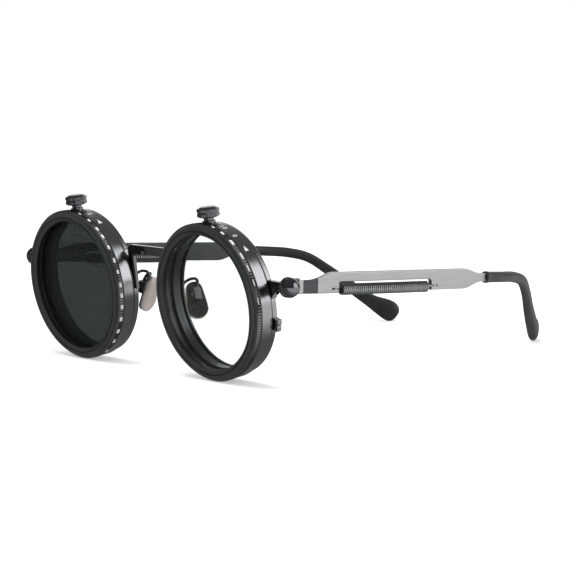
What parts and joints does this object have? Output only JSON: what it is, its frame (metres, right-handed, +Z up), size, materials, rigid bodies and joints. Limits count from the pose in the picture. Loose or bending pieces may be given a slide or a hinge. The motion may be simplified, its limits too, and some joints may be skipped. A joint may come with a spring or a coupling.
{
  "type": "sunglasses",
  "caption": "Round glasses with a knurled tint dial and lock knob on each ring, sprung folding temples and curled ear tips.",
  "frame": {"origin": "middle of the object's box, on the surface it stands on", "axes": "+Z up, -Y out of the front of the rings, +X towards the wearer's left side"},
  "size_m": [0.1478, 0.1536, 0.0572],
  "materials": {
    "bezel_black": "satin",
    "dial_gunmetal": "satin",
    "body_gunmetal": "brushed",
    "black_chrome": "polished",
    "blade_steel": "brushed",
    "spring_steel": "satin",
    "small_steel": "satin",
    "tip_rubber": "matte",
    "pad_silicone": "satin",
    "lens_clear": "polished",
    "lens_tint": "polished"
  },
  "bodies": {
    "frame": {"bridge": "body_gunmetal", "rim_screws": "small_steel", "hinge_screws": "small_steel", "pad_screws": "small_steel", "left_body_ring": "body_gunmetal", "left_snap_ring": "small_steel", "left_knob_bush": "black_chrome", "left_rear_rim": "body_gunmetal", "left_rear_lens": "lens_clear", "left_endpiece": "black_chrome", "left_cap_nut": "black_chrome", "left_hinge_front": "black_chrome", "left_pad_arm": "black_chrome", "left_pad_box": "black_chrome", "right_body_ring": "body_gunmetal", "right_snap_ring": "small_steel", "right_knob_bush": "black_chrome", "right_rear_rim": "body_gunmetal", "right_rear_lens": "lens_tint", "right_endpiece": "black_chrome", "right_cap_nut": "black_chrome", "right_hinge_front": "black_chrome", "right_pad_arm": "black_chrome", "right_pad_box": "black_chrome"},
    "left_dial": {"left_front_bezel": "bezel_black", "left_dial_ring": "dial_gunmetal", "left_front_lens": "lens_clear"},
    "left_knob": {"left_lock_knob": "black_chrome"},
    "left_temple": {"left_hinge_rear": "body_gunmetal", "left_hinge_rivets": "small_steel", "left_temple_blade": "blade_steel", "left_temple_spring": "spring_steel", "left_temple_core": "small_steel", "left_temple_tip": "tip_rubber", "left_tip_collar": "black_chrome"},
    "left_pad": {"left_nose_pad": "pad_silicone"},
    "right_dial": {"right_front_bezel": "bezel_black", "right_dial_ring": "dial_gunmetal", "right_front_lens": "lens_tint"},
    "right_knob": {"right_lock_knob": "black_chrome"},
    "right_temple": {"right_hinge_rear": "body_gunmetal", "right_hinge_rivets": "small_steel", "right_temple_blade": "blade_steel", "right_temple_spring": "spring_steel", "right_temple_core": "small_steel", "right_temple_tip": "tip_rubber", "right_tip_collar": "black_chrome"},
    "right_pad": {"right_nose_pad": "pad_silicone"}
  },
  "joints": [
    {"name": "left_dial_turn", "type": "hinge", "parent": "frame", "child": "left_dial", "pos_m": [0.0368, -0.07382, 0.02576], "axis": [0, -0.993, -0.1184], "range_deg": [-5, 90]},
    {"name": "left_knob_turn", "type": "hinge", "parent": "frame", "child": "left_knob", "pos_m": [0.0368, -0.07192, 0.05202], "axis": [0, -0.1184, 0.993], "range_deg": [-180, 180]},
    {"name": "left_temple_fold", "type": "hinge", "parent": "frame", "child": "left_temple", "pos_m": [0.0683, -0.06187, 0.03276], "axis": [-0.0035, 0.0592, 0.9982], "range_deg": [0, 78]},
    {"name": "left_pad_rock", "type": "hinge", "parent": "frame", "child": "left_pad", "pos_m": [0.0149, -0.06055, 0.02593], "axis": [0.0535, 0.9981, -0.029], "range_deg": [-8, 8]},
    {"name": "right_dial_turn", "type": "hinge", "parent": "frame", "child": "right_dial", "pos_m": [-0.0368, -0.07382, 0.02576], "axis": [0, -0.993, -0.1184], "range_deg": [-5, 90]},
    {"name": "right_knob_turn", "type": "hinge", "parent": "frame", "child": "right_knob", "pos_m": [-0.0368, -0.07192, 0.05202], "axis": [0, -0.1184, 0.993], "range_deg": [-180, 180]},
    {"name": "right_temple_fold", "type": "hinge", "parent": "frame", "child": "right_temple", "pos_m": [-0.0683, -0.06187, 0.03276], "axis": [-0.0035, -0.0592, -0.9982], "range_deg": [0, 57]},
    {"name": "right_pad_rock", "type": "hinge", "parent": "frame", "child": "right_pad", "pos_m": [-0.0149, -0.06055, 0.02593], "axis": [0.0535, -0.9981, 0.029], "range_deg": [-8, 8]}
  ]
}
